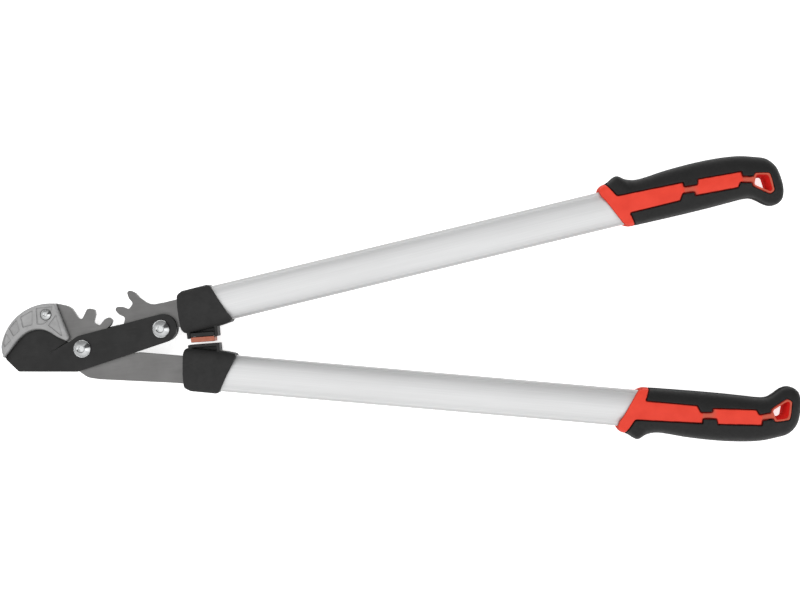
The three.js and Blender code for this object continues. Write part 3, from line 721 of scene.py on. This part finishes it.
def pocket_cutter(loop, depth, top):
    """The cutter of a shallow cast pocket: a rounded foot, a drafted wall and a softened lip."""
    bed = top - depth
    profile = [
        (-0.6, bed), (-0.42, bed + 0.06), (-0.32, bed + 0.28),
        (0, top - 0.2), (0.2, top), (0.22, top + 1),
    ]
    rings = [np.column_stack([offset(loop, reach), np.full(len(loop), z)]) for reach, z in profile]
    return loft(rings)


def hook_covers():
    """Two cast covers, mirror images of each other, each with a screw hole and five shallow pockets."""
    low, high = levels("hook_cover_front")
    screw_hole = fine(face_loops("hook_cover_front", low)[1])
    seat_centre = np.mean(screw_hole, axis=0)
    outline, *pockets = face_loops("hook_cover_front", high)
    land = COVER_SEAT_RADIUS + COVER_SEAT_LAND
    cuts = []
    for loop in pockets:
        clear = [place for place in loop if math.dist(place, seat_centre) > land]
        smooth = fine(clear, sharp=math.radians(70))
        cuts.append(("DIFFERENCE", pocket_cutter(smooth, COVER_POCKET, high)))
    bed, top = high - COVER_SEAT_DEPTH, high + 1
    points, faces = turned([(0, bed), (COVER_SEAT_RADIUS, bed), (COVER_SEAT_RADIUS, top), (0, top)])
    cuts.append(("DIFFERENCE", (points + np.array([*seat_centre, 0]), faces)))
    front = carved(slab([fine(outline), screw_hole], low, high, COVER_RIM, COVER_FACE_RIM), cuts)
    piece(front, "cast_alloy", "hook_cover_front", crease=24)
    rear = front.copy()
    rear.transform(Matrix.Translation((0, 0, 2 * MIDDLE * MM)) @ Matrix.Scale(-1, 4, (0, 0, 1)))
    rear.flip_normals()
    piece(rear, "cast_alloy", "hook_cover_rear", crease=24)


plain_plate("hook_plate", "plate_steel")
plain_plate("gear_plate", "plate_steel")
plain_plate("rear_link", "coated_blade")
cutting_blade()
hook_covers()

# ---------------------------------------------------------------- turned and hexagonal fasteners

PIVOT_SCREW = {
    "radius": 8.3, "height": 4.2, "rim": 0.9, "shank": 4, "socket": 5, "pitch": 1.25, "thread": 6.4,
}
COVER_SCREW = {
    "radius": 4.7, "height": 2.4, "rim": 0.7, "shank": 2, "socket": 2.5, "pitch": 0.7, "thread": 5,
}

# The heads rise almost as a cone: an exponent of 1 would be a dome, and 2 a straight cone.
HEAD_BEND = 1.55
# The socket's countersink and depth and the thread's depth, as shares of the socket's width or the pitch.
SOCKET_MOUTH = 0.74
SOCKET_SINK = 0.17
SOCKET_DEPTH = 0.55
THREAD_DEPTH = 0.45


def screw(node, underside, size):
    """A rimmed, almost conical head with a countersunk hexagonal socket, on a shank with a threaded end."""
    low, _ = levels(node)
    end = low - MIDDLE
    radius, shank, pitch = size["radius"], size["shank"], size["pitch"]
    mouth = size["socket"] * SOCKET_MOUTH
    sink = size["socket"] * SOCKET_SINK
    thread = [(0, end), (shank - 0.9, end), (shank - 0.2, end + 0.6)]
    z = end + 0.8
    while z < end + size["thread"]:
        thread += [(shank, z), (shank - THREAD_DEPTH * pitch, z + pitch / 2)]
        z += pitch
    head = [(shank, z), (shank, underside), (radius - 0.25, underside), (radius, underside + 0.25)]
    crown = underside + size["height"]
    flank = np.radians([0, 3, 7, 12, 18, 25, 32, 39, 46, 52])
    steep = (size["height"] - size["rim"]) / math.sin(flank[-1]) ** HEAD_BEND
    for angle in flank:
        up = underside + size["rim"] + steep * math.sin(angle) ** HEAD_BEND
        head.append((radius * math.cos(angle) ** HEAD_BEND, up))
    lip = [(mouth, crown - 0.1), (mouth - sink, crown - sink), (0, crown - sink)]
    socket = prism(hexagon(size["socket"]), crown - SOCKET_DEPTH * size["socket"], crown + 2)
    made = carved(turned(thread + head + lip), [("DIFFERENCE", socket)])
    place = Matrix.Translation(middle_of(node) + Vector((0, 0, MIDDLE * MM)))
    piece(made, "plated_steel", node, place, crease=32)


def nut(node, across_flats, bore):
    """A hexagon nut with its corners turned off at both ends."""
    low, high = levels(node)
    corner = across_flats / math.sqrt(3) + 0.1
    flat = across_flats / 2 - 0.2
    ease = 0.11 * across_flats / 2
    barrel = [(0, low), (flat, low), (corner, low + ease), (corner, high - ease), (flat, high), (0, high)]
    radius, top = bore / 2, high + 1
    hole = [(0, low - 1), (radius + 0.9, low - 0.2), (radius, low + 0.6), (radius, top), (0, top)]
    cuts = [("INTERSECT", turned(barrel)), ("DIFFERENCE", turned(hole))]
    made = carved(prism(hexagon(across_flats), low, high), cuts)
    piece(made, "plated_steel", node, Matrix.Translation(middle_of(node)), crease=28)


# The undersides of the heads, measured from the tool's middle plane.
PIVOT_HEAD_SEAT = PLATE_HALF + GAP + BLADE_THICKNESS + GAP
COVER_HEAD_SEAT = PLATE_HALF + GAP + COVER_THICKNESS - COVER_POCKET + GAP

for pivot in ("blade_pivot", "handle_pivot"):
    screw(f"{pivot}_bolt", PIVOT_HEAD_SEAT, PIVOT_SCREW)
    plain_plate(f"{pivot}_washer", "plated_steel", rim=0.25)
    nut(f"{pivot}_nut", across_flats=13, bore=8.3)
screw("hook_cover_screw", COVER_HEAD_SEAT, COVER_SCREW)
nut("hook_cover_nut", across_flats=7, bore=4.3)

# ---------------------------------------------------------------- tubes

def tube():
    """An oval tube with a wall; its rings run out along the skin and back along the bore."""
    stations, sides = 60, 128
    along = np.linspace(TUBE_START, TUBE_END, stations)
    half_width, half_depth = TUBE_WIDTH / 2, TUBE_DEPTH / 2
    outer = [oval_ring(u, half_width, half_depth, sides) for u in along]
    inner = [oval_ring(u, half_width - TUBE_WALL, half_depth - TUBE_WALL, sides) for u in along[::-1]]
    rings = np.array(outer + inner)
    count = len(rings)
    faces = []
    for row in range(count):
        faces += band(row * sides, (row + 1) % count * sides, sides)
    return mesh_of((rings.reshape(-1, 3), faces))


# ---------------------------------------------------------------- collars and their bump stop

COLLAR_HALF_WIDTH = 21.5
COLLAR_START = 14
COLLAR_END = 70
COLLAR_POWER = 3
# How much further each collar reaches toward the pivots than the upper one.
COLLAR_NOSE = {"upper": 0, "lower": 1}
# Blocks of the bump stop about the blade pivot: low x, high x, low y, high y, half depth.
STOP_BLOCKS = {
    "upper": [(98.6, 101.4, 1.6, 16, 8), (124.6, 127.6, 2.4, 20, 8), (100, 126, 6.9, 16, 3)],
    "lower": [
        (98.8, 128.2, -6.6, -4, 8), (98.8, 101.4, -16, -4.6, 8), (125.2, 128.2, -22, -4.6, 8),
        (100, 127, -16, -5, 3),
    ],
}
STOP_CORNER_RADIUS = 0.6
# The bumper's holder and the slot in it, about the blade pivot: low and high x, then y, then z.
HOLDER = (101.7, 124.3, 3.2, 6.84, -7.4, 7.4)
HOLDER_SLOT = (106, 121, 2, 5.2, -3.2, 3.2)

# The voxel size in mm and the smoothing that round the edges of each moulded piece. The grips' voxels
# are the largest, so that such large pieces stay under 200,000 triangles.
MOULDING = {
    "collar": {"voxel": 0.45, "smoothing": 4},
    "bumper_holder": {"voxel": 0.3, "smoothing": 3},
    "bumper_pad": {"voxel": 0.4, "smoothing": 6},
    "grip_sleeve": {"voxel": 0.62, "smoothing": 4},
    "grip_core": {"voxel": 0.62, "smoothing": 3},
}


def collar(side):
    """A moulded collar: a squarish oval cut to its outline, with the posts and web of its bump stop."""
    into_handle = handle_place(side).inverted()
    nose = COLLAR_NOSE[side]
    outline = [
        (18.6 - nose, -15.5, 3), (20.4 - nose, 5, 30), (22.2 - nose, 16.4, 4), (27.4, 19.2, 5),
        (53.6, 19.4, 4.5), (67.4, -19.2, 2.4), (55, -20.6, 2), (20.6 - 2 * nose, -20.4, 4),
    ]
    steps = [("INTERSECT", prism(rounded(outline)))]
    for low_x, high_x, low_y, high_y, half_depth in STOP_BLOCKS[side]:
        corners = []
        for x, y in ((low_x, low_y), (high_x, low_y), (high_x, high_y), (low_x, high_y)):
            local = into_handle @ (BLADE_PIVOT + Vector((x, y, 0)) * MM) / MM
            corners.append((local.x, local.y, STOP_CORNER_RADIUS))
        steps.append(("UNION", prism(rounded(corners), -half_depth, half_depth)))
    bore = oval_bar(TUBE_START - 0.5, COLLAR_END + 10, TUBE_WIDTH / 2 + GAP, TUBE_DEPTH / 2 + GAP)
    half_width, half_depth = TANG_HALF_WIDTH + GAP, PLATE_HALF + GAP
    slot = block(0, TUBE_START + 1, -half_width, half_width, -half_depth, half_depth)
    steps += [("DIFFERENCE", bore), ("DIFFERENCE", slot)]
    body = oval_bar(COLLAR_START, COLLAR_END, COLLAR_HALF_WIDTH, COLLAR_HALF_DEPTH, 128, COLLAR_POWER)
    return carved(body, steps, **MOULDING["collar"])


def bumper():
    """The rubber pad between the handles, and its holder between the upper collar's posts."""
    holder = carved(block(*HOLDER), [("DIFFERENCE", block(*HOLDER_SLOT))], **MOULDING["bumper_holder"])
    piece(holder, "collar_nylon", "bumper_holder", Matrix.Translation(BLADE_PIVOT))
    pad = carved(frame["nodes"]["bumper_pad"].data.copy(), **MOULDING["bumper_pad"])
    piece(pad, "bumper_rubber", "bumper_pad")


# ---------------------------------------------------------------- grips

# All places along a grip are measured from its start.
# Matching places down its two sides: outer u, outer v, inner u, inner v, half depth.
GRIP_SIDES = [
    (-4, 21.4, -4, -17.9, 11.2), (3, 22.6, 3, -18.4, 12.2), (11, 24.4, 10, -19.4, 13.2),
    (20.5, 28.4, 18, -20.3, 13.8), (29, 23.4, 29, -20.8, 14.2), (41, 20.8, 42, -21, 14.4),
    (68, 22.8, 68, -21.3, 14.6), (95, 23.4, 95, -21.3, 14.6), (118, 22.4, 116, -20.9, 14.6),
    (136, 20, 131, -20.6, 14.4), (150, 16, 139, -21.8, 14), (161, 11.6, 144.5, -25.4, 13.4),
    (168, 3.4, 149, -29.4, 12.8), (170.4, -7, 153, -32, 12), (170.6, -18, 157, -33.2, 10.6),
    (168.2, -27, 160.5, -33, 7.6), (164.6, -31, 162.4, -32.4, 3),
]
GRIP_STEPS = 12
# The section's power at places along the grip: the shoulder behind the ring is squarer than the rest.
GRIP_POWERS = [(-4, 2.4), (4, 3.3), (20, 3.3), (30, 2.4)]

# The red panel on each face: the ring, two wide stretches, a neck after each, and the eyelet's stem.
PANEL = [
    (-10, 34), (3, 34), (15.5, 9.8, 2), (78, 7.6), (77.7, 3.3), (90, 2.3), (91.5, 7.3),
    (133, 4.6), (133, 0), (150, -3.8), (150, -11), (129.5, -5.2), (126.7, -9.5), (85.5, -7.5),
    (86, -3.9), (75, -2.8), (71.5, -8.6), (23.8, -8.9), (30.4, -30), (-10, -30),
]
PANEL_GROOVE = 0.5
# The eyelet's outline, the width of its rim, and how much its hole narrows from its faces to half way.
EYELET = [
    (144.4, 0.6, 2.5), (158.6, -2.6, 3.4), (159.6, -19.6, 3), (155, -22.2, 3), (139.4, -10.6, 2.5),
]
EYELET_RIM = 1.9
EYELET_DRAFT = 1.8
EYELET_FACE = 12.5
# The gap between the core's pocket and the tube, and where the bar inside the grip starts and ends.
TUBE_FIT = 0.12
CORE_BAR_START = -6
CORE_BAR_END = 138
# The edge of the ring toward the tube.
RING_LIP = [
    (12, 27), (7.4, 24.6), (3.2, 21.6), (1.3, 18.4), (1.1, 15), (1.9, 12), (4.6, 7),
    (9.8, -4.5), (14.8, -14), (18, -17.8), (22, -20.4), (27, -22.6), (30, -26),
]
RING_LIP_STEPS = 6

# How far the red lies below the grip's full form, at places along it: deepest at the two necks.
PANEL_DROPS = [
    (-10, 0), (8, 0), (20, 0.7), (76.4, 0.7), (78, 1.6), (84.5, 1.6), (90.5, 0.7),
    (131.6, 0.7), (133.4, 1.6), (140, 1.6), (143, 0.3), (180, 0.3),
]

# How much painted shade darkens the red, at places along the grip: at the first neck, and from the second to the
# end.
GRIP_SHADE_PLACES = [(76.4, 0), (78, 1), (84.5, 1), (90.5, 0), (131.6, 0), (133.4, 1)]


def grip_body(drops=((0, 0), (1, 0))):
    """The grip's whole form, with its faces lowered by an amount that changes along it."""
    rings = []
    for outer_u, outer_v, inner_u, inner_v, depth in spline(GRIP_SIDES, GRIP_STEPS):
        _, across, rise = oval_ring(0, 1, 1, sides=96, power=np.interp(outer_u, *zip(*GRIP_POWERS))).T
        outer, inner = np.array([outer_u, outer_v]), np.array([inner_u, inner_v])
        flat = (outer + inner) / 2 + across[:, None] * (outer - inner) / 2
        lowered = depth - np.interp(flat[:, 0], *zip(*drops))
        rings.append(np.column_stack([flat[:, 0] + GRIP_START, flat[:, 1], rise * lowered]))
    return loft(rings)


def in_grip(corners):
    """Corners measured from the grip's start, moved to the handle's own frame."""
    return [(corner[0] + GRIP_START, *corner[1:]) for corner in corners]


def grip_cut(corners, gap=0.0):
    """A cutter through the whole grip over corners that are grown by a gap."""
    return prism(rounded(in_grip(grown(corners, gap))))


def core_bar(gap):
    """The part of the core that lies inside the sleeve, grown by a gap."""
    start, end = GRIP_START + CORE_BAR_START, GRIP_START + CORE_BAR_END + gap
    return oval_bar(start, end, CORE_HALF_WIDTH + gap, CORE_HALF_DEPTH + gap)


def grip_sleeve():
    """The soft black overmould, open wherever the red core shows."""
    cutters = [grip_cut(PANEL, GAP), grip_cut(EYELET, GAP), core_bar(GAP)]
    steps = [("DIFFERENCE", cutter) for cutter in cutters]
    return carved(grip_body(), steps, **MOULDING["grip_sleeve"])


def eyelet_hole():
    """The hole through the eyelet, drafted so that it is narrowest half way through."""
    outside = EYELET_FACE + 7.5
    levels_and_drafts = (
        (-outside, 0), (-EYELET_FACE, 0), (0, EYELET_DRAFT), (EYELET_FACE, 0), (outside, 0),
    )
    rings = []
    for z, narrowing in levels_and_drafts:
        outline = rounded(in_grip(grown(EYELET, -EYELET_RIM - narrowing)))
        rings.append([(x, y, z) for x, y in outline])
    return loft(rings)


def grip_core():
    """The hard red core: its ring, panels and eyelet show, and its bar lies inside the sleeve."""
    shown = carved(grip_cut(PANEL, -PANEL_GROOVE), [("UNION", grip_cut(EYELET)), ("UNION", core_bar(0))])
    lip = prism(in_grip([(-20, -26), (-20, 27), *spline(RING_LIP, RING_LIP_STEPS).tolist()]))
    half_width, half_depth = TUBE_WIDTH / 2 + TUBE_FIT, TUBE_DEPTH / 2 + TUBE_FIT
    pocket = oval_bar(GRIP_START - 10, GRIP_START + GRIP_POCKET_END, half_width, half_depth)
    steps = [("INTERSECT", shown)]
    steps += [("DIFFERENCE", cutter) for cutter in (lip, pocket, eyelet_hole())]
    made = carved(grip_body(PANEL_DROPS), steps, **MOULDING["grip_core"])
    # How much painted shade each point of the red gets, by its place along the grip.
    along = np.array([vertex.co.x for vertex in made.vertices]) / MM - GRIP_START
    grip_shade = made.attributes.new("grip_shade", "FLOAT", "POINT")
    grip_shade.data.foreach_set("value", np.interp(along, *zip(*GRIP_SHADE_PLACES)))
    return made


shared = {
    "tube": tube(),
    "grip_core": grip_core(),
    "grip_sleeve": grip_sleeve(),
}
for side in ("upper", "lower"):
    place = handle_place(side)
    tube_finish = f"anodised_{side}"
    piece(shared["tube"], tube_finish, f"{side}_tube", place, crease=50)
    piece(collar(side), "collar_nylon", f"{side}_collar", place)
    piece(shared["grip_core"], "hard_red", f"{side}_grip_core", place)
    piece(shared["grip_sleeve"], "soft_black", f"{side}_grip_sleeve", place)
bumper()

# ---------------------------------------------------------------- floor, light and camera

# Places and sizes here are in metres, but for the camera's sensor and lens.
FLOOR_SIZE = 14
FLOOR_LEVEL = -0.0004
FLOOR_GLOW = 0.68

CAMERA_HEIGHT = 1.0
CAMERA_AIM = (0.00378, 0.02317)
CAMERA_TURN = math.radians(-4.33)
# Half the width of what the camera sees one metre away.
HALF_VIEW = 0.376
SENSOR_WIDTH = 36

# How the tent's brightness grows with the rise of the direction, and fades toward its far side.
TENT_RISE = {"low": 0.05, "high": 0.85, "to_low": 0.66, "to_high": 1.24}
TENT_FAR_SIDE = {"low": 0.4, "high": 0.85, "to_low": 1.0, "to_high": 0.44}
# What hangs round the tent: bearing and half width in degrees, the rise of its top, its brightness.
TENT_PANELS = {"dark_flag": (29, 22, 0.95, 0.1), "bright_panel": (-16, 15, 0.85, 1.45)}
# Lamps that show in no reflection: place, width, watts.
LAMPS = {"high_lamp": ((-0.5, 0.9, 1.5), 1.6, 9), "low_lamp": ((1.7, 0.7, 0.35), 0.8, 6)}


def add_floor():
    """A white floor that glows a little, so that it is white in the picture."""
    bpy.ops.mesh.primitive_plane_add(size=FLOOR_SIZE, location=(0, 0, FLOOR_LEVEL))
    made = bpy.context.object
    made.name = "floor"
    f = Finish("floor", specular=0.1)
    f.shader.inputs["Emission Color"].default_value = (1, 1, 1, 1)
    f.shader.inputs["Emission Strength"].default_value = FLOOR_GLOW
    tone = f.mix(f.noise(400, detail=2), grey(0.9), grey(0.92))
    made.data.materials.append(f.set(tone, f.ramp(f.noise(300), 0.3, 0.7, 0.75, 0.85)))


def add_camera():
    """Straight above the tool's middle plane, with the tool turned a little."""
    data = bpy.data.cameras.new("camera")
    data.sensor_width = SENSOR_WIDTH
    data.lens = SENSOR_WIDTH / 2 / HALF_VIEW
    made = bpy.data.objects.new("camera", data)
    made.location = (*CAMERA_AIM, MIDDLE * MM + CAMERA_HEIGHT)
    made.rotation_euler = (0, 0, CAMERA_TURN)
    bpy.context.collection.objects.link(made)
    bpy.context.scene.camera = made


def add_tent():
    """A white tent, brightest overhead and dimmer on its far side, with a dark flag and a bright panel."""
    world = bpy.data.worlds.new("studio")
    bpy.context.scene.world = world
    world.use_nodes = True
    tree = world.node_tree
    sky = tree.nodes["Background"]
    place = tree.nodes.new("ShaderNodeTexCoord").outputs["Generated"]
    direction = add_node(tree, "ShaderNodeSeparateXYZ", {"Vector": place}).outputs
    along, across, rise = direction["X"], direction["Y"], direction["Z"]
    tent = add_ramp(tree, rise, **TENT_RISE, interpolation_type="SMOOTHSTEP")
    far_side = add_ramp(tree, across, **TENT_FAR_SIDE, interpolation_type="SMOOTHSTEP")
    strength = add_maths(tree, "MULTIPLY", tent, far_side)
    bearing = add_maths(tree, "ARCTAN2", across, along)
    for middle, half_width, top, brightness in TENT_PANELS.values():
        # Its sides are soft over a few degrees, and so is its top.
        away = add_maths(tree, "ABSOLUTE", add_maths(tree, "SUBTRACT", bearing, math.radians(middle)))
        inside = add_ramp(tree, away, math.radians(half_width + 4), math.radians(half_width - 2))
        below = add_ramp(tree, rise, top + 0.02, top - 0.02)
        covered = add_maths(tree, "MULTIPLY", inside, below)
        panel = add_ramp(tree, covered, 0.0, 1.0, 1.0, brightness)
        strength = add_maths(tree, "MULTIPLY", strength, panel)
    tree.links.new(strength, sky.inputs["Strength"])
    sky.inputs["Color"].default_value = (1, 1, 1, 1)


def add_lamp(name, place, width, watts):
    """A broad soft lamp that faces the middle of the frame."""
    data = bpy.data.lights.new(name, "AREA")
    data.shape = "RECTANGLE"
    data.size = width
    data.size_y = 0.6 * width
    data.energy = watts
    lamp = bpy.data.objects.new(name, data)
    lamp.location = place
    lamp.rotation_euler = (-lamp.location).to_track_quat("-Z", "Y").to_euler()
    lamp.visible_camera = False
    lamp.visible_glossy = False
    bpy.context.collection.objects.link(lamp)


add_floor()
add_tent()
for lamp_name, lamp_settings in LAMPS.items():
    add_lamp(lamp_name, *lamp_settings)
add_camera()
bpy.context.scene.view_settings.view_transform = "Standard"
